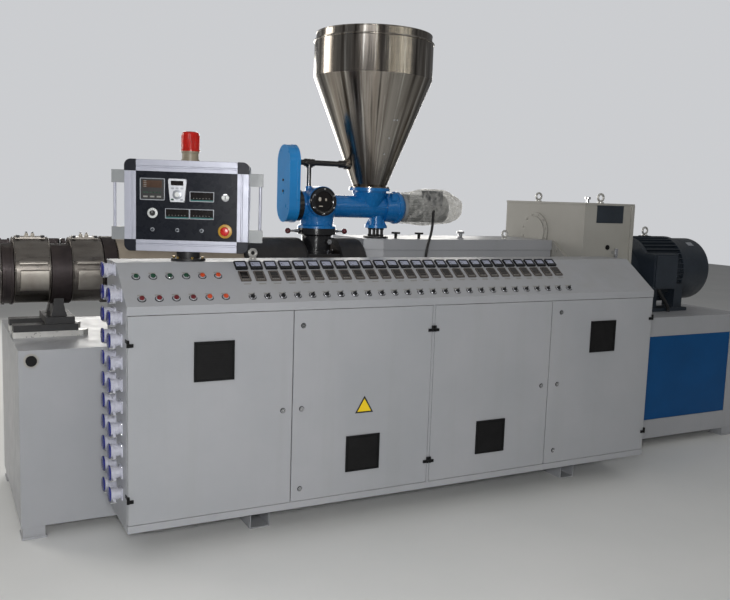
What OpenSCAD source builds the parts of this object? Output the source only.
// Twin screw plastic extruder: welded base, barrel with heater bands, feeder
// with hopper, drive cover, gearbox and motor behind a long control cabinet
// with a sloping console, four doors and a swivelling operator panel.
// Sizes are in millimetres. X runs along the machine to the motor, Y runs
// from the cabinet doors to the back, Z is up.

/* [Cabinet] */
// Length of the control cabinet
cabinet_l = 3400; // [2600:10:4200]
// Depth of the control cabinet
cabinet_d = 494; // [420:1:600]
// Height of the underside of the cabinet above the floor
cabinet_clear_h = 156; // [120:1:220]
// Height of the plinth strip under the doors
plinth_h = 37; // [25:1:60]
// Height of each door
door_h = 1026; // [800:1:1150]
// Height of the strip above the doors
lip_h = 42; // [25:1:60]
// Height gained by the sloping console
slope_rise = 188; // [140:1:240]
// Depth taken by the sloping console
slope_run = 262; // [220:1:300]
// Thickness of the cabinet's sheet steel
sheet_t = 3; // [2:0.5:5]
// Width of the strip between the two middle doors
mullion_w = 14; // [12:1:24]
// Width of the posts behind the door edges
post_w = 40; // [32:1:60]

/* [Doors] */
// Depth of a door pan
door_t = 19; // [14:1:28]
// Gap between a door and the frame above and below it
door_gap = 3; // [2.5:0.5:5]
// Radius of a hinge knuckle
knuckle_r = 7; // [5:0.5:9]
// Height of a hinge
hinge_h = 34; // [24:1:60]
// Width of a ventilation grille
vent_w = 206; // [150:1:260]
// Height of a ventilation grille
vent_h = 200; // [150:1:260]
// Radius of a door lock
lock_r = 14; // [10:0.5:18]

/* [Console] */
// Pitch of the control columns along the console
column_pitch = 83; // [76:1:95]
// Number of temperature control columns
columns = 26; // [20:1:28]
// Distance from the cabinet's left end to the first temperature column
first_column_x = 632; // [600:1:700]
// Width of an ammeter
ammeter_w = 66; // [50:1:72]
// Height of an ammeter
ammeter_h = 62; // [50:1:66]
// Width of a temperature controller
controller_w = 56; // [45:1:72]
// Height of a temperature controller
controller_h = 76; // [60:1:80]
// Radius of a selector knob
selector_r = 16; // [9:0.5:18]
// Radius of a push button bezel
bezel_r = 18; // [12:0.5:20]

/* [Heater sockets] */
// Rows of heater sockets on the end of the cabinet
socket_rows = 11; // [6:1:11]
// Pitch of the socket rows
socket_pitch = 110; // [90:1:111]
// Side of a socket's flange
socket_w = 64; // [48:1:66]
// Length of a socket's body
socket_l = 56; // [40:1:60]

/* [Operator panel] */
// Width of the operator panel
panel_w = 635; // [560:5:760]
// Height of the operator panel
panel_h = 470; // [380:5:560]
// Depth of the operator panel's housing
panel_d = 130; // [90:5:180]
// Angle that the panel is turned towards the operator
panel_turn = -24; // [-45:1:45]
// Distance of the panel's pivot from the left end
panel_x = 392; // [340:1:500]
// Distance of the panel's pivot from the doors
panel_y = 372; // [350:1:400]
// Width of the frame profile round the panel
panel_bar = 60; // [40:1:70]
// Radius of the panel's outer corners
panel_corner_r = 34; // [10:1:50]

/* [Base] */
// Length of the machine base
base_l = 5365; // [4800:5:6000]
// Depth of the machine base
base_d = 1092; // [950:1:1300]
// Height of the base's top above the floor
base_top_z = 993; // [900:1:1060]
// Height of the feet under the base
foot_h = 66; // [50:1:90]
// Length of the coloured panel in the base
base_panel_l = 1560; // [900:10:2200]
// Distance the base runs out to the left of the cabinet
base_left = 435; // [300:5:600]

/* [Barrel] */
// Height of the screw axis above the floor
axis_z = 1350; // [1300:1:1420]
// Radius of the heater bands
band_r = 186; // [160:1:210]
// Radius of the steel barrel inside the bands
barrel_r = 150; // [120:1:155]
// Distance the barrel runs out to the left of the base
barrel_overhang = 190; // [120:5:400]

/* [Feeder] */
// Distance of the feed throat from the left end of the cabinet
throat_x = 1428; // [1350:1:1500]
// Radius of the feed throat
throat_r = 96; // [80:1:110]
// Distance of the hopper from the feed throat
hopper_offset = 380; // [340:1:430]
// Height of the feeder's screw tube above the floor
feeder_z = 1750; // [1735:1:1790]
// Radius of the ball housing
ball_r = 122; // [110:1:128]
// Radius of the feeder's screw tube
tube_r = 73; // [60:1:80]
// Radius of the hopper's cylinder
hopper_r = 390; // [300:5:430]
// Radius of the hopper's outlet
hopper_out_r = 107; // [90:1:118]
// Height of the hopper's cone
hopper_cone_h = 708; // [600:1:800]
// Height of the hopper's cylinder
hopper_cyl_h = 234; // [150:1:320]
// Height of the hopper's lid band
lid_h = 49; // [30:1:70]
// Wall of the hopper
hopper_wall = 3; // [2:0.5:5]

/* [Drive] */
// Length of the gearbox
gearbox_l = 470; // [400:1:600]
// Depth of the gearbox
gearbox_d = 902; // [800:1:960]
// Height of the gearbox above the base
gearbox_h = 835; // [760:1:900]
// Height of the drive cover's top above the floor
cover_top_z = 1544; // [1500:1:1600]
// Radius of the motor's finned body
motor_r = 268; // [220:1:275]
// Height of the motor's axis above the floor
motor_z = 1308; // [1270:1:1360]
// Length of the motor's finned body
motor_l = 430; // [400:1:500]
// Length of the motor's fan cowl
cowl_l = 285; // [150:1:300]
// Number of cooling fins round the motor
fins = 40; // [12:1:60]

/* [Hidden] */
$fn = 48;

// Finishes
paint = [0.72, 0.73, 0.73];
blue = [0.10, 0.42, 0.72];
black = [0.07, 0.07, 0.08];
steel = [0.72, 0.72, 0.72];
slate = [0.14, 0.17, 0.20];

// Cabinet heights and console slope
door_z0 = cabinet_clear_h + plinth_h + door_gap;
lip_z0 = door_z0 + door_h + door_gap;
slope_z0 = lip_z0 + lip_h;
cabinet_top_z = slope_z0 + slope_rise;
slope_a = atan2(slope_rise, slope_run);
slope_l = sqrt(pow(slope_rise, 2) + pow(slope_run, 2));
floor_top_z = door_z0 - door_gap;

// Doors: four of one width, with a strip between the middle two
frame_y = door_t + door_gap;
edge_gap = 3;
pair_gap = 6;
door_w = (cabinet_l - mullion_w - 4 * edge_gap - 2 * pair_gap) / 4;
right_pair_x = 2 * door_w + pair_gap + 3 * edge_gap + mullion_w;
door_x = [edge_gap, edge_gap + door_w + pair_gap, right_pair_x, right_pair_x + door_w + pair_gap];
door_hinge_left = [true, false, true, false];
hinge_y = -knuckle_r;
hinge_levels = [130, door_h - 130];
// Height of each door's grille and locks above the door's foot
vent_low = 124;
vent_high = door_h - vent_h - 137;
vent_up = [vent_high, vent_low, vent_low, vent_high];
lock_in = [50, 50, 50, 70];
lock_mid = 0.49 * door_h;
lock_levels = [[lock_mid], [66, lock_mid, door_h - 80], [lock_mid], [78, lock_mid, door_h - 72]];

// Base and machine axis
base_x0 = -base_left;
base_x1 = base_x0 + base_l;
base_y0 = cabinet_d;
base_y1 = base_y0 + base_d;
axis_y = base_y0 + base_d / 2;
barrel_x0 = base_x0 - barrel_overhang;

// Feeder heights
flange_t = 20;
throat_z0 = axis_z + 93;
slide_ring_z = feeder_z - ball_r - 62;
neck_z = feeder_z - ball_r - 22;
hopper_x = throat_x + hopper_offset;
hopper_z0 = feeder_z + 127;
hopper_z1 = hopper_z0 + hopper_cone_h;
hopper_z2 = hopper_z1 + hopper_cyl_h;

// Drive places: gearbox beyond the cover, motor beyond the gearbox
gearbox_x0 = throat_x + 1872;
gearbox_x1 = gearbox_x0 + gearbox_l;
gearbox_y0 = axis_y - gearbox_d / 2;
gearbox_top_z = base_top_z + gearbox_h;
cover_x0 = throat_x + 302;
cover_x1 = gearbox_x0 - 24;
cover_y0 = axis_y - 147;
cover_y1 = axis_y + 380;
coupling_l = 380;
motor_x0 = gearbox_x1 + coupling_l;
motor_x1 = motor_x0 + motor_l;
motor_end_l = 12;
cowl_x0 = motor_x1 + motor_end_l;
machine_x1 = cowl_x0 + cowl_l;

// The origin lies on the floor at the middle of the whole machine
origin_x = (barrel_x0 + max(base_x1, machine_x1)) / 2;
front_y = hinge_y - knuckle_r;
origin_y = (front_y + base_y1) / 2;

module placed() translate([-origin_x, -origin_y, 0]) children();

module box(x0, x1, y0, y1, z0, z1) translate([x0, y0, z0]) cube([x1 - x0, y1 - y0, z1 - z0]);

// A cylinder along X between two X places
module rod_x(x0, x1, y, z, r) translate([x0, y, z]) rotate([0, 90, 0]) cylinder(r = r, h = x1 - x0);

// A cylinder along Y between two Y places
module rod_y(x, y0, y1, z, r) translate([x, y0, z]) rotate([-90, 0, 0]) cylinder(r = r, h = y1 - y0);

module rod_z(x, y, z0, z1, r) translate([x, y, z0]) cylinder(r = r, h = z1 - z0);

module ring_x(x0, x1, y, z, ro, ri) difference() {
    rod_x(x0, x1, y, z, ro);
    rod_x(x0 - 1, x1 + 1, y, z, ri);
}

// A profile of radius against length, turned round a line along X that starts at x0
module turned_x(x0, y, z) translate([x0, y, z]) rotate([0, 90, 0]) rotate_extrude($fn = 96) children();

// Profile of a sleeve whose outer edge at the far end is rounded
module sleeve_profile(l, ro, ri, round_r) {
    translate([ri, 0]) square([ro - ri, l - round_r]);
    translate([ri, 0]) square([ro - ri - round_r, l]);
    translate([ro - round_r, l - round_r]) intersection() {
        circle(round_r, $fn = 64);
        square(round_r);
    }
}

// Flat plate with rounded corners, drawn on XY with its middle at the origin
module round_plate(w, h, t, r) linear_extrude(t) {
    square([w - 2 * r, h], center = true);
    square([w, h - 2 * r], center = true);
    for (sx = [-1, 1], sy = [-1, 1]) translate([sx * (w / 2 - r), sy * (h / 2 - r)]) circle(r, $fn = 24);
}

// Hexagon bolt heads on a circle, pointing up
module bolt_circle(n, circle_r, bolt_r, head_h) for (i = [0 : n - 1])
    rotate([0, 0, (i + 0.5) * 360 / n]) translate([circle_r, 0, 0]) cylinder(r = bolt_r, h = head_h, $fn = 6);

// Machine base

module machine_base() color(paint) placed() difference() {
    box(base_x0, base_x1, base_y0, base_y1, foot_h, base_top_z);
    for (back = [false, true]) base_panel(back, panel_seat, 0);
}

// Coloured panel sunk in the motor end of the base, on the front and on the back
panel_seat = 12;
base_panel_t = 8;
base_panel_in = 125;
base_panel_z0 = base_top_z - 783;
base_panel_z1 = base_top_z - 142;
module base_panel(back, depth, margin)
    box(base_x1 - base_panel_in - base_panel_l + margin, base_x1 - base_panel_in - margin,
        back ? base_y1 - panel_seat : base_y0 + panel_seat - depth,
        back ? base_y1 - panel_seat + depth : base_y0 + panel_seat,
        base_panel_z0 + margin, base_panel_z1 - margin);

module base_panels() color([0.05, 0.22, 0.45]) placed()
    for (back = [false, true]) base_panel(back, base_panel_t, 1);

// Feet along both sides
foot_w = 110;
foot_in = 62;
foot_rows = 4;
module base_feet() color(paint) placed()
    for (i = [0 : foot_rows - 1], y = [base_y0 + foot_in, base_y1 - foot_in])
        translate([base_x0 + foot_in + i * (base_l - 2 * foot_in) / (foot_rows - 1), y, 0]) foot();

// Solid block under the base, on a plate that is a little wider
foot_plate_h = 12;
module foot() {
    linear_extrude(foot_h) square(foot_w, center = true);
    linear_extrude(foot_plate_h) square(foot_w + foot_plate_h, center = true);
}

// Round port with a black plug near the barrel end of the base
port_r = 37;
module base_port() color(black) placed() {
    port_x = base_x0 + 60;
    port_z = base_top_z - 53;
    rod_y(port_x, base_y0 - 3, base_y0, port_z, port_r);
    rod_y(port_x, base_y0 - 14, base_y0 - 3, port_z, port_r - 10);
}

rail_h = 33;
rail_w = 60;
rail_l = 395;
module bed_rails() color(steel) placed() for (y = [axis_y - 165, axis_y + 105])
    translate([base_x0 + 8, y, base_top_z]) linear_extrude(rail_h) polygon([
        [0, 0], [rail_l - rail_w / 2, 0], [rail_l, rail_w / 2], [rail_l - rail_w / 2, rail_w], [0, rail_w]]);

// Sliding support of the barrel on the rails
carriage_x = -172;
clamp_w = 104;
clamp_r = band_r + 5;
slide_t = 37;
slide_d = 85;
carriage_post_h = 66;
module barrel_carriage() color(black) placed() {
    slide_z = base_top_z + rail_h;
    block_z = slide_z + slide_t;
    post_z = block_z + slide_t;
    post_x = carriage_x - 12;
    for (y = [axis_y - 170, axis_y + 170 - slide_d])
        box(base_x0 + 10, base_x0 + 346, y, y + slide_d, slide_z, block_z);
    box(post_x - 74, post_x + 80, axis_y - 150, axis_y + 150, block_z, post_z);
    // post with flared webs that reach up round the clamp
    difference() {
        union() {
            for (y = [axis_y - 120, axis_y + 80]) translate([post_x, y + 40, post_z])
                rotate([90, 0, 0]) linear_extrude(40) polygon([
                    [-42, 0], [42, 0], [26, carriage_post_h], [26, carriage_post_h + 50],
                    [-26, carriage_post_h + 50], [-26, carriage_post_h]]);
            box(post_x - 26, post_x + 26, axis_y - 110, axis_y + 110, post_z, axis_z - 134);
        }
        rod_x(carriage_x - 50, carriage_x + 50, axis_y, axis_z, clamp_r + 0.3);
    }
}

// Barrel

band_gap = 2;
flange_l = 40;
joint_x0 = 57;
joint_x1 = 125;
// Start and end of each heater band along the barrel
bands = [[barrel_x0 + flange_l + 6, base_x0 - 39 - band_gap],
         [base_x0 + 21, carriage_x - clamp_w / 2 - band_gap],
         [carriage_x + clamp_w / 2 + band_gap, joint_x0 - band_gap]];

module barrel() color([0.45, 0.45, 0.46]) placed() difference() {
    union() {
        rod_x(barrel_x0 + flange_l, throat_x + 160, axis_y, axis_z, barrel_r);
        rod_x(barrel_x0, barrel_x0 + flange_l, axis_y, axis_z, barrel_r + 24);
    }
    // two screw bores that meet
    for (dy = [-45, 45]) rod_x(barrel_x0 - 1, barrel_x0 + 200, axis_y + dy, axis_z, 52);
    // flat and feed hole under the throat
    box(throat_x - throat_r - 26, throat_x + throat_r + 26, axis_y - 200, axis_y + 200,
        throat_z0, axis_z + 200);
    rod_z(throat_x, axis_y, axis_z, axis_z + 200, throat_r - 14);
    for (i = [0 : 7]) round_axis(22.5 + i * 45)
        rod_x(barrel_x0 - 1, barrel_x0 + flange_l / 2, axis_y + barrel_r, axis_z, 8);
}

module round_axis(a) translate([0, axis_y, axis_z]) rotate([a, 0, 0]) translate([0, -axis_y, -axis_z])
    children();

bead_r = 4;
pad_t = 12;
pads = [[-98, -4], [14, 36]];
module heater_bands() color([0.62, 0.60, 0.57]) placed() for (b = bands) {
    l = b[1] - b[0];
    // sheet with a rolled bead at each end
    turned_x(b[0], axis_y, axis_z) {
        translate([barrel_r + 1, 0]) square([band_r - bead_r - barrel_r - 1, l]);
        for (end = [bead_r, l - bead_r]) translate([band_r - bead_r, end]) circle(bead_r, $fn = 24);
    }
    // raised covers over the terminals, front and back
    for (side = [0, 180], pad = pads) round_axis(side) difference() {
        intersection() {
            rod_x(b[0] + 28, b[1] - 12, axis_y, axis_z, band_r + pad_t);
            box(b[0], b[1], axis_y - band_r - 20, axis_y - 90, axis_z + pad[0], axis_z + pad[1]);
        }
        rod_x(b[0], b[1], axis_y, axis_z, band_r - bead_r - 2);
    }
    // clamping strip and screws on the top
    strip_z = axis_z + band_r - bead_r - 8;
    box(b[0] + 16, b[1] - 16, axis_y - 46, axis_y + 46, strip_z, strip_z + 14);
    for (x = [b[0] + 34 : (l - 68) / 3 : b[1] - 33], y = [axis_y - 30, axis_y + 30])
        rod_z(x, y, strip_z + 14, strip_z + 24, 8);
}

// The two rings on the carriage's side are open at the top
clamp_open_front = 125;
clamp_open_back = 80;
module barrel_clamps() color([0.17, 0.16, 0.18]) placed() {
    difference() {
        union() {
            // grooved ring at the end of the base
            ring_x(base_x0 - 39, base_x0 + 21 - band_gap, axis_y, axis_z, band_r - 2, barrel_r + 1);
            for (x = [base_x0 - 37, base_x0 + 6])
                ring_x(x, x + 12, axis_y, axis_z, band_r + 4, barrel_r + 1);
            // clamp of the carriage
            ring_x(carriage_x - clamp_w / 2, carriage_x + clamp_w / 2, axis_y, axis_z, clamp_r,
                barrel_r + 1);
        }
        box(base_x0 - 40, carriage_x + clamp_w, axis_y - clamp_open_front, axis_y + clamp_open_back,
            axis_z + 60, axis_z + clamp_r + 1);
    }
    // set screw in the opening
    rod_z(carriage_x + 12, axis_y, axis_z + barrel_r + 0.3, axis_z + barrel_r + 26, 11);
    // bolted joint of the two barrel halves
    ring_x(joint_x0, joint_x1, axis_y, axis_z, band_r + 6, barrel_r + 1);
    for (i = [0 : 11]) round_axis(i * 30 + 15)
        rod_x(joint_x0 - 1.5, joint_x1 + 12, axis_y + barrel_r + 24, axis_z, 9);
}

shroud_x1 = 880;
module barrel_shroud() color([0.66, 0.60, 0.54]) placed() difference() {
    ring_x(joint_x1 + 13, shroud_x1, axis_y, axis_z, band_r - 8, barrel_r + 1);
    for (x = [300 : 190 : 700]) ring_x(x, x + 3, axis_y, axis_z, band_r, band_r - 10);
}

feed_block_x = throat_r + 16;
module feed_housing() color(black) placed() {
    feed_x0 = throat_x - feed_block_x;
    feed_x1 = throat_x + feed_block_x;
    turned_x(shroud_x1 + 4, axis_y, axis_z)
        sleeve_profile(feed_x0 - shroud_x1 - 4, band_r + 8, barrel_r + 1, 38);
    turned_x(feed_x1, axis_y, axis_z)
        sleeve_profile(cover_x0 - 4 - feed_x1, band_r + 8, barrel_r + 1, 34);
    difference() {
        box(feed_x0, feed_x1, axis_y - 130, axis_y + 130, base_top_z, throat_z0);
        rod_x(feed_x0 - 1, feed_x1 + 1, axis_y, axis_z, barrel_r + 1);
    }
}

// Drive cover and gearbox

lid_drop = 72;
lid_over = 5;
cover_cut_x = 120;
cover_cut_y = 57;
module drive_cover() color(paint) placed() {
    cover_slab(lid_over, base_top_z, cover_top_z - lid_drop);
    cover_slab(0, cover_top_z - lid_drop, cover_top_z);
}

// Slab of the cover's plan, whose front corner is cut off towards the barrel
module cover_slab(in, z0, z1) translate([0, 0, z0]) linear_extrude(z1 - z0) polygon([
    [cover_x0 + in, cover_y0 + cover_cut_y + in], [cover_x0 + cover_cut_x + in, cover_y0 + in],
    [cover_x1 - in, cover_y0 + in], [cover_x1 - in, cover_y1 - in], [cover_x0 + in, cover_y1 - in]]);

module cover_fittings() color(black) placed() {
    // two knobs and a valve
    for (p = [[cover_x0 + 283, axis_y - 20], [cover_x0 + 444, axis_y - 60]]) {
        rod_z(p[0], p[1], cover_top_z, cover_top_z + 30, 10);
        rod_z(p[0], p[1], cover_top_z + 30, cover_top_z + 42, 30);
    }
    translate([cover_x0 + 785, axis_y - 60, cover_top_z]) rotate_extrude() polygon([
        [0, 0], [26, 0], [26, 8], [15, 12], [15, 36], [28, 40], [28, 50], [20, 56], [0, 58]]);
}

gearbox_cap_t = 14;
web_t = 22;
module gearbox() color(paint) placed() {
    box(gearbox_x0, gearbox_x1, gearbox_y0, gearbox_y0 + gearbox_d,
        base_top_z, gearbox_top_z - gearbox_cap_t);
    box(gearbox_x0 - 3, gearbox_x1 + 3, gearbox_y0 - 3, gearbox_y0 + gearbox_d + 3,
        gearbox_top_z - gearbox_cap_t, gearbox_top_z);
    // bearing plate on the motor side
    box(gearbox_x1 - 30, gearbox_x1 - 4, gearbox_y0 - 12, gearbox_y0 + gearbox_d + 12,
        base_top_z, gearbox_top_z - gearbox_cap_t);
    // web beside the cover, its upper edge sloping to the front
    translate([gearbox_x0 - web_t, cover_y0, base_top_z]) rotate([90, 0, 90]) linear_extrude(web_t + 4)
        polygon([[-193, 0], [0, 0], [0, 546], [-148, 445], [-193, 400]]);
}

bearing_cover_z = gearbox_top_z - 234;
module gearbox_fittings() color([0.60, 0.60, 0.58]) placed() {
    // bolted cover over the end bearing
    translate([gearbox_x0, axis_y + 84, bearing_cover_z]) rotate([0, -90, 0]) {
        cylinder(r = 150, h = 10);
        translate([0, 0, 10]) cylinder(r = 118, h = 8);
        translate([0, 0, 10]) bolt_circle(12, 134, 8, 6);
    }
    // blank plate
    box(gearbox_x0 + 112, gearbox_x1 - 105, gearbox_y0 - 3, gearbox_y0,
        gearbox_top_z - 141, gearbox_top_z - 16);
    // oil glass and drain tap
    rod_y(gearbox_x0 + 231, gearbox_y0 - 8, gearbox_y0, gearbox_top_z - 316, 17);
    rod_y(gearbox_x0 + 285, gearbox_y0 - 34, gearbox_y0, gearbox_top_z - 352, 12);
    rod_z(gearbox_x0 + 285, gearbox_y0 - 34, gearbox_top_z - 388, gearbox_top_z - 322, 15);
    // screw of the web
    rod_x(gearbox_x0 - web_t - 8, gearbox_x0 - web_t, cover_y0 - 48, base_top_z + 484, 12);
    // breather
    rod_z(gearbox_x0 + 300, axis_y - 143, gearbox_top_z, gearbox_top_z + 26, 12);
    rod_z(gearbox_x0 + 300, axis_y - 143, gearbox_top_z + 26, gearbox_top_z + 44, 22);
}

// Ring bolt with a collar, standing up
ring_stock_r = 8;
module eye_bolt(x, y, z, r) translate([x, y, z]) {
    cylinder(r = r * 0.7, h = ring_stock_r);
    translate([0, 0, r + ring_stock_r - 2]) rotate([90, 0, 0]) rotate_extrude($fn = 32)
        translate([r - ring_stock_r, 0]) circle(ring_stock_r, $fn = 16);
}

// Motor

terminal_x0 = motor_x0;
terminal_w = 250;
terminal_y = axis_y - motor_r - 62;
terminal_z = [motor_z - 130, motor_z + 142];
motor_rail_h = 26;
shield_l = 34;
fin_t = 6;
motor_eye_pad = 34;
motor_eye_x = motor_x0 + motor_l / 2;
module drive_motor() color(slate) placed() {
    core_r = motor_r - 26;
    rod_x(motor_x0, motor_x1, axis_y, motor_z, core_r);
    rod_x(motor_x0, motor_x0 + shield_l, axis_y, motor_z, motor_r - 5);
    rod_x(motor_x1 - shield_l, cowl_x0, axis_y, motor_z, motor_r);
    for (i = [0 : fins - 1]) translate([motor_x0 + shield_l - 2, axis_y, motor_z])
        rotate([(i + 0.5) * 360 / fins, 0, 0]) translate([0, -fin_t / 2, core_r - 8])
            cube([motor_l - 2 * shield_l + 4, fin_t, motor_r - core_r + 8]);
    // guard over the coupling
    rod_x(gearbox_x1 + 4, motor_x0, axis_y, motor_z, 170);
    // feet on two rails
    for (s = [-1, 1]) {
        box(motor_x0 + 10, motor_x1 + 10, axis_y + s * 215 - 70, axis_y + s * 215 + 70,
            base_top_z, base_top_z + motor_rail_h);
        for (x = [motor_x0 + 40, motor_x1 - 110])
            box(x, x + 90, axis_y + s * 195 - 60, axis_y + s * 195 + 60,
                base_top_z + motor_rail_h, motor_z - 100);
    }
    // pad for the lifting eye
    box(motor_eye_x - motor_eye_pad, motor_eye_x + motor_eye_pad,
        axis_y - motor_eye_pad, axis_y + motor_eye_pad, motor_z + core_r - 10, motor_z + motor_r + 4);
    // terminal box with a raised lid
    box(terminal_x0, terminal_x0 + terminal_w, terminal_y, axis_y - motor_r + 60,
        terminal_z[0], terminal_z[1]);
    translate([terminal_x0 + terminal_w / 2, terminal_y, (terminal_z[0] + terminal_z[1]) / 2])
        rotate([90, 0, 0])
        round_plate(terminal_w - 24, terminal_z[1] - terminal_z[0] - 24, 14, 22);
}

cowl_r = motor_r - 15;
module motor_cowl() color(slate) placed() difference() {
    turned_x(cowl_x0, axis_y, motor_z) sleeve_profile(cowl_l, cowl_r, 0, 42);
    // air slots in the end
    for (i = [0 : 3], n = 10 + 6 * i)
        translate([machine_x1 - 30, axis_y, motor_z]) rotate([0, 90, 0]) difference() {
            cylinder(r = 62 + i * 40, h = 40);
            translate([0, 0, -1]) cylinder(r = 48 + i * 40, h = 42);
            for (a = [0 : 60 : 120]) rotate([0, 0, a + i * 30])
                translate([0, 0, 20]) cube([2 * motor_r, 12, 42], center = true);
        }
}

// Round cable through a list of points
module cable_run(points, r) for (i = [0 : len(points) - 2]) {
    d = points[i + 1] - points[i];
    l = norm(d);
    translate(points[i]) rotate([0, acos(d[2] / l), atan2(d[1], d[0])]) cylinder(r = r, h = l, $fn = 24);
    if (i > 0) translate(points[i]) sphere(r = r + 0.5, $fn = 24);
}

motor_cable_r = 14;
feeder_cable_r = 9;
module cables() color(black) placed() {
    motor_cable_x = terminal_x0 + 100;
    motor_cable_y = terminal_y + 26;
    cable_run([[motor_cable_x, motor_cable_y, terminal_z[0]],
               [motor_cable_x, motor_cable_y, terminal_z[0] - 26],
               [motor_cable_x + 112, motor_cable_y, base_top_z + 34],
               [motor_cable_x + 112, motor_cable_y, base_top_z]], motor_cable_r);
    // feeder cable: down from its terminal box and behind the console to the base
    box_x = hopper_x + feeder_box_x + feeder_box_w / 2;
    cable_run([[box_x, axis_y - 118, feeder_z + 24], [box_x, axis_y - 118, feeder_z - 12],
               [box_x - 50, axis_y - 190, cover_top_z + 60], [box_x - 180, axis_y - 340, cover_top_z - 40],
               [box_x - 250, axis_y - 440, cover_top_z - 140], [box_x - 258, axis_y - 470, base_top_z + 80],
               [box_x - 258, axis_y - 470, base_top_z]], feeder_cable_r);
}

cabinet_eye_x = 772;
module lifting_eyes() color(steel) placed() {
    for (s = [-1, 1]) eye_bolt((gearbox_x0 + gearbox_x1) / 2, axis_y + s * 350, gearbox_top_z, 34);
    eye_bolt(cover_x1 - 326, axis_y, cover_top_z, 30);
    eye_bolt(motor_eye_x, axis_y, motor_z + motor_r + 4, 34);
    eye_bolt(cabinet_eye_x, cabinet_d - 62, cabinet_top_z, 27);
}

// Feeder

knob_arm = 94;
knob_r = 19;
module feed_throat() color(black) placed() translate([throat_x, axis_y, 0]) difference() {
    neck_top = neck_z;
    union() {
        translate([0, 0, throat_z0]) rotate_extrude($fn = 96) polygon([
            [0, 0], [throat_r + 24, 0], [throat_r + 24, flange_t], [throat_r, flange_t],
            [throat_r, slide_ring_z - throat_z0 - 10], [throat_r + 12, slide_ring_z - throat_z0],
            [throat_r + 29, slide_ring_z - throat_z0], [throat_r + 29, neck_top - throat_z0],
            [0, neck_top - throat_z0]]);
        // two levers of the slide ring with ball handles
        for (s = [0, 180]) rotate([0, 0, s]) translate([throat_r + 20, 0, slide_ring_z + 20])
            rotate([0, 90, 0]) {
                cylinder(r1 = 16, r2 = 8, h = 40);
                cylinder(r = 7, h = knob_arm - 8);
                translate([0, 0, knob_arm - 8]) sphere(r = knob_r);
            }
        // plug on the front of the throat
        translate([45, -throat_r - 14, throat_z0 + 78]) rotate([-90, 0, 0]) {
            cylinder(r = 12, h = 60);
            cylinder(r = 17, h = 8, $fn = 6);
        }
        translate([0, 0, throat_z0 + flange_t]) bolt_circle(8, throat_r + 12, 7, 6);
    }
    translate([0, 0, throat_z0 - 1]) cylinder(r = throat_r - 14, h = neck_z - throat_z0 + 2);
}

glass_y = axis_y - ball_r - 4;
glass_x = throat_x - 18;
glass_z = feeder_z + 29;
glass_r = 92;
pipe_z = feeder_z + 274;
pipe_r = 18;
tee_x = throat_x - 63;
port_x = hopper_x - 190;
tube_end_x = hopper_x + 100;
motor_flange_x = hopper_x + 236;
foot_x = hopper_x + 59;
foot_z = feeder_z - 138;
receiver_h = hopper_z0 - feeder_z;
module feeder_body() color(blue) placed() {
    neck_drop = neck_z - feeder_z;
    // discharge housing over the throat, turned round the vertical
    translate([throat_x, axis_y, feeder_z]) rotate_extrude($fn = 96) polygon([
        [0, neck_drop], [125, neck_drop], [125, neck_drop + 14], [106, neck_drop + 24], [111, -72],
        [ball_r - 3, -44], [ball_r - 1, 0], [ball_r - 3, 44], [106, 72], [80, 98], [80, 106], [0, 106]]);
    rod_y(glass_x, glass_y, axis_y - 20, glass_z, glass_r + 4);
    rod_x(throat_x - ball_r - 8, throat_x, axis_y, feeder_z, 92);
    // three studs and the pipe socket on its top
    for (x = [throat_x - 28, throat_x + 6, throat_x + 40])
        rod_z(x, axis_y - 42, feeder_z + 100, feeder_z + 118, 6);
    rod_z(tee_x, axis_y, feeder_z + 90, feeder_z + ball_r + 2, 20);
    // screw tube with its casting seam
    rod_x(throat_x, hopper_x + 190, axis_y, feeder_z, tube_r);
    box(throat_x + ball_r - 20, tube_end_x, axis_y - tube_r - 3, axis_y - tube_r + 20,
        feeder_z - 3, feeder_z + 3);
    // receiver under the hopper
    translate([hopper_x, axis_y, feeder_z]) rotate_extrude($fn = 96) polygon([
        [0, -30], [tube_r - 4, -30], [tube_r + 4, 0], [hopper_out_r + 8, receiver_h - 30],
        [hopper_out_r + 8, receiver_h - flange_t], [hopper_out_r + 31, receiver_h - flange_t],
        [hopper_out_r + 31, receiver_h], [0, receiver_h]]);
    // bearing housing at the motor end
    turned_x(tube_end_x, axis_y, feeder_z) polygon([
        [0, 0], [96, 0], [100, 60], [100, 84], [109, 90], [109, 112], [98, 128], [90, 136], [0, 136]]);
    for (i = [0 : 7]) translate([0, axis_y, feeder_z]) rotate([i * 45 + 22.5, 0, 0])
        rod_x(tube_end_x + 78, tube_end_x + 96, 101, 0, 7);
    // lug on the housing
    box(tube_end_x + 26, tube_end_x + 66, axis_y - 98, axis_y - 60, feeder_z + 48, feeder_z + 92);
    // foot with four gussets
    rod_z(foot_x, axis_y, foot_z, feeder_z, 48);
    rod_z(foot_x, axis_y, foot_z, foot_z + flange_t, 76);
    for (a = [0 : 90 : 270]) translate([foot_x, axis_y, foot_z + flange_t]) rotate([90, 0, a + 45])
        translate([0, 0, -5]) linear_extrude(10) polygon([[40, 0], [72, 0], [46, 46], [40, 46]]);
}

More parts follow.
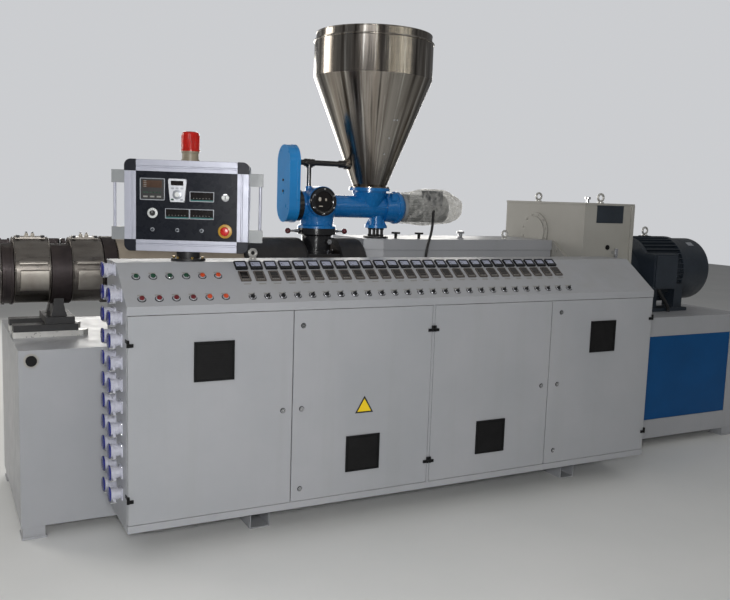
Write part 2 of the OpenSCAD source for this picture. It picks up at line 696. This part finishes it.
guard_x = throat_x - 245;
guard_w = 72;
module feeder_fittings() color(black) placed() {
    // sight glass with its ring of screws
    rod_y(glass_x, glass_y - 10, glass_y, glass_z, glass_r);
    difference() {
        rod_y(glass_x, glass_y - 18, glass_y - 10, glass_z, glass_r - 8);
        rod_y(glass_x, glass_y - 19, glass_y - 12, glass_z, glass_r - 26);
    }
    for (i = [0 : 5]) translate([glass_x, glass_y - 14, glass_z]) rotate([0, i * 60 + 30, 0])
        rod_y(glass_r - 7, 0, 6, 0, 5);
    // breather pipe from the hopper's cone to the housing, with a tee and collars
    rod_x(guard_x + guard_w + 8, port_x, axis_y, pipe_z, pipe_r);
    rod_z(tee_x, axis_y, feeder_z + ball_r + 2, pipe_z, pipe_r - 3);
    rod_x(tee_x - 32, tee_x + 32, axis_y, pipe_z, pipe_r + 7);
    rod_z(tee_x, axis_y, pipe_z - 34, pipe_z, pipe_r + 5);
    rod_x(port_x - 40, port_x, axis_y, pipe_z, pipe_r + 7);
    // shaft seal between the chain guard and the housing
    rod_x(guard_x + guard_w, throat_x - ball_r - 8, axis_y, feeder_z, 101);
}

// Chain guard: a flat shell with round ends, its lid a little larger
guard_r = 108;
guard_rise = 277;
guard_y = axis_y - 14;
guard_z = feeder_z - 3;
module guard_shell(x0, x1, r) translate([x0, guard_y, guard_z]) rotate([90, 0, 90])
    linear_extrude(x1 - x0) {
        circle(r, $fn = 96);
        translate([0, guard_rise]) circle(r, $fn = 96);
        translate([-r, 0]) square([2 * r, guard_rise]);
    }

module chain_guard() color(blue) placed() {
    guard_shell(guard_x, guard_x + 52, guard_r - 3);
    guard_shell(guard_x + 52, guard_x + guard_w, guard_r);
    for (z = [guard_z + 91, guard_z + 160]) rod_x(guard_x - 5, guard_x, guard_y, z, 8);
}

leg_ring_r = 42;
module feeder_support() color(black) placed() {
    rod_z(foot_x, axis_y, cover_top_z, cover_top_z + 12, 84);
    for (a = [45 : 90 : 315])
        translate([foot_x + leg_ring_r * cos(a), axis_y + leg_ring_r * sin(a), cover_top_z + 12]) {
            cylinder(r = 10, h = foot_z - cover_top_z - 12);
            cylinder(r = 16, h = 12, $fn = 6);
            translate([0, 0, foot_z - cover_top_z - 24]) cylinder(r = 16, h = 12, $fn = 6);
        }
}

feeder_motor_r = 96;
feeder_motor_l = 304;
feeder_box_x = 385;
feeder_box_w = 110;
module feeder_motor() color([0.55, 0.56, 0.56]) placed() {
    motor_end = motor_flange_x + feeder_motor_l;
    rod_x(motor_flange_x, motor_flange_x + 24, axis_y, feeder_z, feeder_motor_r);
    rod_x(motor_flange_x + 24, motor_end, axis_y, feeder_z, feeder_motor_r - 14);
    for (i = [0 : 23]) translate([motor_flange_x + 24, axis_y, feeder_z]) rotate([i * 15, 0, 0])
        translate([0, -2, feeder_motor_r - 20]) cube([feeder_motor_l - 24, 4, 18]);
    turned_x(motor_end - 60, axis_y, feeder_z) sleeve_profile(100, feeder_motor_r, feeder_motor_r - 6, 4);
    turned_x(motor_end + 20, axis_y, feeder_z) sleeve_profile(20, feeder_motor_r - 4, 0, 8);
    // terminal box at the front
    box(hopper_x + feeder_box_x, hopper_x + feeder_box_x + feeder_box_w, axis_y - 140, axis_y - 40,
        feeder_z + 24, feeder_z + 122);
}

// Hopper: one steel sheet turned round its axis, from the flange to the lip
lip_r = 6;
module hopper() color(steel) placed() {
    wall_out = hopper_r;
    translate([hopper_x, axis_y, hopper_z0]) rotate_extrude($fn = 128) {
        polygon([
            [hopper_out_r, 0], [hopper_out_r + 28, 0], [hopper_out_r + 28, 6],
            [hopper_out_r + hopper_wall, 6], [wall_out, hopper_cone_h],
            [wall_out, hopper_cone_h + hopper_cyl_h],
            [wall_out - hopper_wall, hopper_cone_h + hopper_cyl_h], [wall_out - hopper_wall, hopper_cone_h],
            [hopper_out_r, 8]]);
        translate([wall_out, hopper_cone_h + hopper_cyl_h - lip_r]) circle(lip_r, $fn = 24);
    }
    translate([hopper_x, axis_y, hopper_z0 + 6]) bolt_circle(8, hopper_out_r + 17, 7, 6);
    // port for the breather pipe
    difference() {
        rod_x(port_x, hopper_x - hopper_out_r, axis_y, pipe_z, 32);
        translate([hopper_x, axis_y, hopper_z0 + 6]) cylinder(
            r1 = hopper_out_r + hopper_wall / 2, r2 = hopper_r - hopper_wall / 2,
            h = hopper_cone_h - 6, $fn = 128);
    }
}

// Rim band that stands on the hopper's lip
rim_in = 10;
module hopper_lid() color(steel) placed() translate([hopper_x, axis_y, hopper_z2])
    rotate_extrude($fn = 128) {
        rim_r = hopper_r - rim_in;
        translate([rim_r - hopper_wall, -40]) square([hopper_wall, lid_h + 40]);
        translate([rim_r - 2, 0]) square([rim_in + 2, hopper_wall]);
        translate([rim_r - 2, lid_h - 4]) circle(4, $fn = 24);
    }

// Cabinet

post_d = 30;

module cabinet_floor() color(paint) placed()
    box(0, cabinet_l, 0, cabinet_d, cabinet_clear_h, floor_top_z);

// Posts behind the door edges
module cabinet_posts() color(paint) placed()
    for (x = [sheet_t, door_x[1] - pair_gap / 2 - post_w / 2, cabinet_l / 2 - post_w / 2,
              door_x[3] - pair_gap / 2 - post_w / 2, cabinet_l - sheet_t - post_w])
        box(x, x + post_w, frame_y, frame_y + post_d, floor_top_z, lip_z0);

module centre_strip() color(paint) placed()
    box(cabinet_l / 2 - mullion_w / 2, cabinet_l / 2 + mullion_w / 2, 0, frame_y, floor_top_z, lip_z0);

module frame_hinges() color(black) placed()
    for (i = [0 : 3], level = hinge_levels) frame_hinge(i, level);

// Underside of the sloping sheet above a place at a distance y from the doors
function under_slope_z(y) = slope_z0 + y * tan(slope_a) - sheet_t / cos(slope_a);
knee_y = slope_run - sheet_t * (1 / cos(slope_a) - 1) / tan(slope_a);

module cabinet_ends() color([0.74, 0.73, 0.70]) placed()
    for (x = [0, cabinet_l - sheet_t])
        translate([x, 0, 0]) rotate([90, 0, 90]) linear_extrude(sheet_t) polygon([
            [frame_y, floor_top_z], [cabinet_d - sheet_t, floor_top_z],
            [cabinet_d - sheet_t, cabinet_top_z - sheet_t], [knee_y, cabinet_top_z - sheet_t],
            [sheet_t, under_slope_z(sheet_t)], [sheet_t, lip_z0 + sheet_t], [frame_y, lip_z0 + sheet_t]]);

plate_in = 80;
plate_off = 55;
module cabinet_back() color(paint) placed() {
    box(0, cabinet_l, cabinet_d - sheet_t, cabinet_d, floor_top_z, cabinet_top_z - sheet_t);
    // mounting plate on its stand-offs
    plate_y = cabinet_d - sheet_t - plate_off;
    box(plate_in, cabinet_l - plate_in, plate_y - sheet_t, plate_y, floor_top_z + 60, lip_z0 - 40);
    for (x = [plate_in + 40, cabinet_l / 2, cabinet_l - plate_in - 40], z = [floor_top_z + 110, lip_z0 - 90])
        rod_y(x, plate_y - 1, cabinet_d - 1, z, 12);
}

// One bent sheet: lip over the doors, slope and flat top
console_over = 2;
module console() color(paint) placed()
    translate([-console_over, 0, 0]) rotate([90, 0, 90]) linear_extrude(cabinet_l + 2 * console_over)
        polygon([
            [0, lip_z0], [frame_y, lip_z0], [frame_y, lip_z0 + sheet_t], [sheet_t, lip_z0 + sheet_t],
            [sheet_t, under_slope_z(sheet_t)], [knee_y, cabinet_top_z - sheet_t],
            [cabinet_d, cabinet_top_z - sheet_t], [cabinet_d, cabinet_top_z],
            [slope_run, cabinet_top_z], [0, slope_z0]]);

// Pressed channels under the cabinet, open at the top, running from the front to the back
channel_in = [691, 422];
channel_w = 113;
channel_y0 = 185;
channel_t = 5;
channel_lip = 22;
module cabinet_feet() color(paint) placed()
    for (x = [channel_in[0], cabinet_l - channel_in[1] - channel_w])
        translate([x, cabinet_d - 6, 0]) rotate([90, 0, 0]) linear_extrude(cabinet_d - 6 - channel_y0)
            difference() {
                union() {
                    square([channel_w, cabinet_clear_h]);
                    translate([-channel_lip, cabinet_clear_h - channel_t])
                        square([channel_w + 2 * channel_lip, channel_t]);
                }
                translate([channel_t, channel_t])
                    square([channel_w - 2 * channel_t, cabinet_clear_h]);
            }

// A piece on the console's slope: along X, up the slope and out of it
slope_seat = 0.02;
module on_slope(x, s) translate([x, s * cos(slope_a), slope_z0 + s * sin(slope_a)]) rotate([slope_a, 0, 0])
    translate([0, 0, slope_seat]) children();

function column_x(i) = first_column_x + i * column_pitch;

// Bezel with a sunken window
module bezel(w, h, t, edge) difference() {
    translate([-w / 2, -h / 2, 0]) cube([w, h, t]);
    translate([-w / 2 + edge, -h / 2 + edge, t - 3]) cube([w - 2 * edge, h - 2 * edge, 4]);
}

module ammeters() color([0.15, 0.16, 0.18]) placed() for (i = [0 : columns - 1])
    on_slope(column_x(i), slope_l - 37) bezel(ammeter_w, ammeter_h, 12, 7);

module controllers() color([0.33, 0.33, 0.33]) placed() for (i = [0 : columns - 1])
    on_slope(column_x(i), slope_l - 120) bezel(controller_w, controller_h, 8, 5);

// Selector: bezel ring, base and a grip bar across it
selector_s = 47;
module selectors() color(black) placed() for (i = [0 : columns - 1])
    on_slope(column_x(i), selector_s) {
        cylinder(r = selector_r + 2, h = 4);
        translate([0, 0, 4]) cylinder(r1 = selector_r, r2 = selector_r - 2, h = 8);
        translate([0, 0, 12]) rotate([0, 0, 45]) round_plate(2 * selector_r - 4, 9, 11, 4);
    }

button_x = 77;
button_columns = 6;
button_rows = [slope_l - 112, 51];
module push_buttons() color([0.75, 0.75, 0.75]) placed() for (i = [0 : button_columns - 1], s = button_rows)
    on_slope(button_x + i * column_pitch, s) rotate_extrude() polygon([
        [0, 0], [bezel_r, 0], [bezel_r, 4], [bezel_r - 3, 7], [bezel_r - 4, 7],
        [bezel_r - 4, 12], [bezel_r - 6, 15], [0, 16]]);

// Heater sockets on the left end: a front column and a rear column with one row more
socket_y = [142, 302];
socket_z0 = 318;
socket_r = socket_w / 2;
flange_h = 6;
lid_t = 10;
lid_out = 6;
function socket_z(row) = socket_z0 + row * socket_pitch;
module at_sockets() for (col = [0, 1]) for (row = [0 : socket_rows - 2 + col])
    translate([0, socket_y[col], socket_z(row)]) rotate([0, -90, 0]) children();

module sockets() color([0.80, 0.80, 0.82]) placed() at_sockets() {
    round_plate(socket_w, socket_w, flange_h, 6);
    translate([0, 0, flange_h]) bolt_circle(4, socket_w * 0.58, 3.5, 3);
    translate([0, 0, flange_h]) rotate_extrude() polygon([
        [0, 0], [socket_r - 4, 0], [socket_r - 4, 14], [socket_r, 17],
        [socket_r, socket_l - flange_h], [0, socket_l - flange_h]]);
    // lug with the lid's closing screw, low on the door side
    rotate([0, 0, 225]) {
        translate([socket_r - 4, -6, socket_l - 22]) cube([20, 12, 12]);
        translate([socket_r + lid_out + 8, 0, socket_l - 26]) cylinder(r = 5, h = 32);
    }
}

module socket_lids() color([0.10, 0.18, 0.55]) placed() at_sockets() translate([0, 0, socket_l])
    rotate_extrude() polygon([
        [0, 0], [socket_r + lid_out, 0], [socket_r + lid_out, lid_t - 4],
        [socket_r + lid_out - 3, lid_t - 2], [socket_r - 10, lid_t], [0, lid_t]]);

// Doors

module door_pan(w, h) difference() {
    cube([w, door_t, h]);
    translate([sheet_t, sheet_t, sheet_t]) cube([w - 2 * sheet_t, door_t, h - 2 * sheet_t]);
}

function hinge_x(i) = door_hinge_left[i] ? door_x[i] - edge_gap / 2 : door_x[i] + door_w + edge_gap / 2;

vent_lap = 12;
module door(i) color(paint) placed() difference() {
    translate([door_x[i], 0, door_z0]) door_pan(door_w, door_h);
    translate([door_x[i] + door_w / 2 - vent_w / 2 + vent_lap, -1, door_z0 + vent_up[i] + vent_lap])
        cube([vent_w - 2 * vent_lap, door_t, vent_h - 2 * vent_lap]);
}

module door_1() door(0);
module door_2() door(1);
module door_3() door(2);
module door_4() door(3);

// Grille, locks and hinge halves that move with a door
hinge_leaf_w = 26;
hinge_leaf_t = 8;
half_gap = 0.5;
module door_fittings(i) color(black) placed() {
    translate([door_x[i] + door_w / 2 - vent_w / 2, -vent_t, door_z0 + vent_up[i]]) vent_grille();
    lock_x = door_hinge_left[i] ? door_x[i] + door_w - lock_in[i] : door_x[i] + lock_in[i];
    for (level = lock_levels[i]) translate([lock_x, 0, door_z0 + level]) rotate([90, 0, 0]) rotate_extrude()
        polygon([[0, 0], [lock_r, 0], [lock_r, 3], [lock_r - 3, 6], [lock_r - 6, 6], [lock_r - 6, 3], [5, 3],
                 [5, 6], [0, 6]]);
    s = door_hinge_left[i] ? 1 : -1;
    x_leaf = hinge_x(i) + s * hinge_leaf_w;
    for (level = hinge_levels) {
        z0 = door_z0 + level - hinge_h / 2;
        z1 = door_z0 + level - half_gap;
        rod_z(hinge_x(i), hinge_y, z0, z1, knuckle_r);
        box(min(hinge_x(i), x_leaf), max(hinge_x(i), x_leaf), -hinge_leaf_t, 0, z0, z1);
    }
}

// Hinge half that stays on the frame
module frame_hinge(i, level) {
    z0 = door_z0 + level + half_gap;
    z1 = door_z0 + level + hinge_h / 2;
    rod_z(hinge_x(i), hinge_y, z0, z1, knuckle_r);
    if (i == 0 || i == 3) {
        // round the outer corner of the cabinet
        x_out = i == 0 ? -sheet_t : cabinet_l;
        box(x_out, x_out + sheet_t, hinge_y - 3, frame_y + 20, z0, z1);
        box(min(hinge_x(i), x_out), max(hinge_x(i), x_out + sheet_t), hinge_y - 3, hinge_y, z0, z1);
    } else {
        // on the centre strip
        x_in = cabinet_l / 2 + (i == 1 ? -1 : 1) * 1.5;
        box(min(hinge_x(i), x_in), max(hinge_x(i), x_in), -hinge_leaf_t, 0, z0, z1);
    }
}

vent_t = 8;
vent_edge = 14;
slats = 14;
module vent_grille() {
    slat_pitch = (vent_h - 2 * vent_edge) / slats;
    difference() {
        cube([vent_w, vent_t, vent_h]);
        translate([vent_edge, -1, vent_edge])
            cube([vent_w - 2 * vent_edge, vent_t + 2, vent_h - 2 * vent_edge]);
    }
    // sloping slats
    for (i = [0 : slats - 1]) translate([vent_edge - 1, 0, vent_edge + i * slat_pitch]) rotate([90, 0, 90])
        linear_extrude(vent_w - 2 * vent_edge + 2) polygon([
            [1, 0], [3, 0], [vent_t, slat_pitch - 2], [vent_t, slat_pitch], [vent_t - 2, slat_pitch]]);
}

module door_fittings_1() door_fittings(0);
module door_fittings_2() door_fittings(1);
module door_fittings_3() door_fittings(2);
module door_fittings_4() door_fittings(3);

// Operator panel on its swivel

swivel_h = 46;
swivel_r = 90;
module panel_post() color(black) placed() {
    rod_z(panel_x, panel_y, cabinet_top_z, cabinet_top_z + 12, swivel_r);
    rod_z(panel_x, panel_y, cabinet_top_z + 12, cabinet_top_z + swivel_h, swivel_r - 30);
    translate([panel_x, panel_y, cabinet_top_z + 12]) bolt_circle(6, swivel_r - 14, 8, 10);
}

panel_z0 = cabinet_top_z + swivel_h + 0.3;
module on_pivot() translate([panel_x, panel_y, panel_z0]) rotate([0, 0, panel_turn]) children();

// The panel's face on XY, seen by the operator: out from the face is +Z
face_in = 6;
module on_face() on_pivot() translate([0, -panel_d / 2 + face_in, panel_h / 2]) rotate([90, 0, 0]) children();

module panel_housing() color([0.20, 0.21, 0.24]) placed() on_pivot() {
    inner_w = panel_w - 2 * panel_bar;
    inner_h = panel_h - 2 * panel_bar;
    translate([-inner_w / 2, -panel_d / 2 + face_in, panel_bar]) cube([inner_w, panel_d - face_in, inner_h]);
}

// Aluminium bars with two grooves, round corner blocks
module panel_frame() color([0.78, 0.79, 0.80]) placed() on_pivot()
    translate([0, panel_d / 2, panel_h / 2]) rotate([90, 0, 0]) difference() {
        round_plate(panel_w, panel_h, panel_d, panel_corner_r);
        translate([0, 0, -1]) linear_extrude(panel_d + 2)
            square([panel_w - 2 * panel_bar, panel_h - 2 * panel_bar], center = true);
        // grooves along the bars
        for (z = [32, panel_d - 38], s = [-1, 1]) {
            translate([-panel_w / 2 + panel_bar, s * panel_h / 2 - 2, z])
                cube([panel_w - 2 * panel_bar, 4, 6]);
            translate([s * panel_w / 2 - 2, -panel_h / 2 + panel_bar, z])
                cube([4, panel_h - 2 * panel_bar, 6]);
        }
    }

handle_out = 70;
handle_r = 8;
module panel_handles() color([0.76, 0.77, 0.78]) placed() on_pivot() for (s = [-1, 1]) {
    rod_z(s * (panel_w / 2 + handle_out - 14), -20, 56, panel_h - 56, handle_r);
    for (z = [56, panel_h - 56 - 66])
        translate([s > 0 ? panel_w / 2 : -panel_w / 2 - handle_out, -34, z]) cube([handle_out, 28, 66]);
}

// Instruments: columns across the face and rows up it, from its middle
face_col = [for (f = [-0.274, -0.075, 0.121, 0.310]) f * panel_w];
face_row = [for (f = [0.178, 0.11, -0.081, -0.26]) f * panel_h];
dial_r = 20;
small_knob_r = 9;
module face_piece(col, row) translate([face_col[col], face_row[row], 0]) children();

module panel_instruments() color([0.5, 0.5, 0.5]) placed() on_face() {
    // square recorder, keypad that widens upwards, and three digital meters
    face_piece(0, 0) bezel(126, 112, 8, 9);
    face_piece(1, 0) linear_extrude(14)
        polygon([[-38, -60], [38, -60], [49, 56], [40, 62], [-40, 62], [-49, 56]]);
    for (p = [[2, 1], [1, 2], [2, 2]]) face_piece(p[0], p[1]) bezel(124, 52, 6, 6);
    // selector, dial and three small knobs
    face_piece(3, 1) cylinder(r = dial_r - 2, h = 12);
    face_piece(0, 2) cylinder(r = dial_r, h = 6);
    for (col = [0 : 2]) face_piece(col, 3) cylinder(r = small_knob_r, h = 9);
    // emergency stop: ring, neck and mushroom head
    face_piece(3, 3) rotate_extrude() polygon([
        [0, 0], [35, 0], [35, 4], [17, 6], [17, 14], [21, 17], [21, 24], [15, 28], [0, 29]]);
}

beacon_r = 50;
beacon_base_h = 50;
module beacon() color([0.80, 0.10, 0.06]) placed() on_pivot() translate([6, 15, panel_h]) {
    cylinder(r = beacon_r - 3, h = beacon_base_h);
    translate([0, 0, beacon_base_h]) rotate_extrude() polygon([
        [0, 0], [beacon_r, 0], [beacon_r, 8], [beacon_r - 3, 10],
        [beacon_r - 5, 89], [beacon_r - 14, 99], [0, 101]]);
}

machine_base();
base_feet();
base_panels();
base_port();
bed_rails();
barrel_carriage();
barrel();
heater_bands();
barrel_clamps();
barrel_shroud();
feed_housing();
drive_cover();
cover_fittings();
gearbox();
gearbox_fittings();
drive_motor();
motor_cowl();
cables();
lifting_eyes();
feed_throat();
feeder_body();
feeder_fittings();
chain_guard();
feeder_support();
feeder_motor();
hopper();
hopper_lid();
cabinet_floor();
cabinet_posts();
centre_strip();
cabinet_ends();
cabinet_back();
console();
cabinet_feet();
frame_hinges();
ammeters();
controllers();
selectors();
push_buttons();
sockets();
socket_lids();
panel_post();
door_1();
door_2();
door_3();
door_4();
door_fittings_1();
door_fittings_2();
door_fittings_3();
door_fittings_4();
panel_housing();
panel_frame();
panel_handles();
panel_instruments();
beacon();
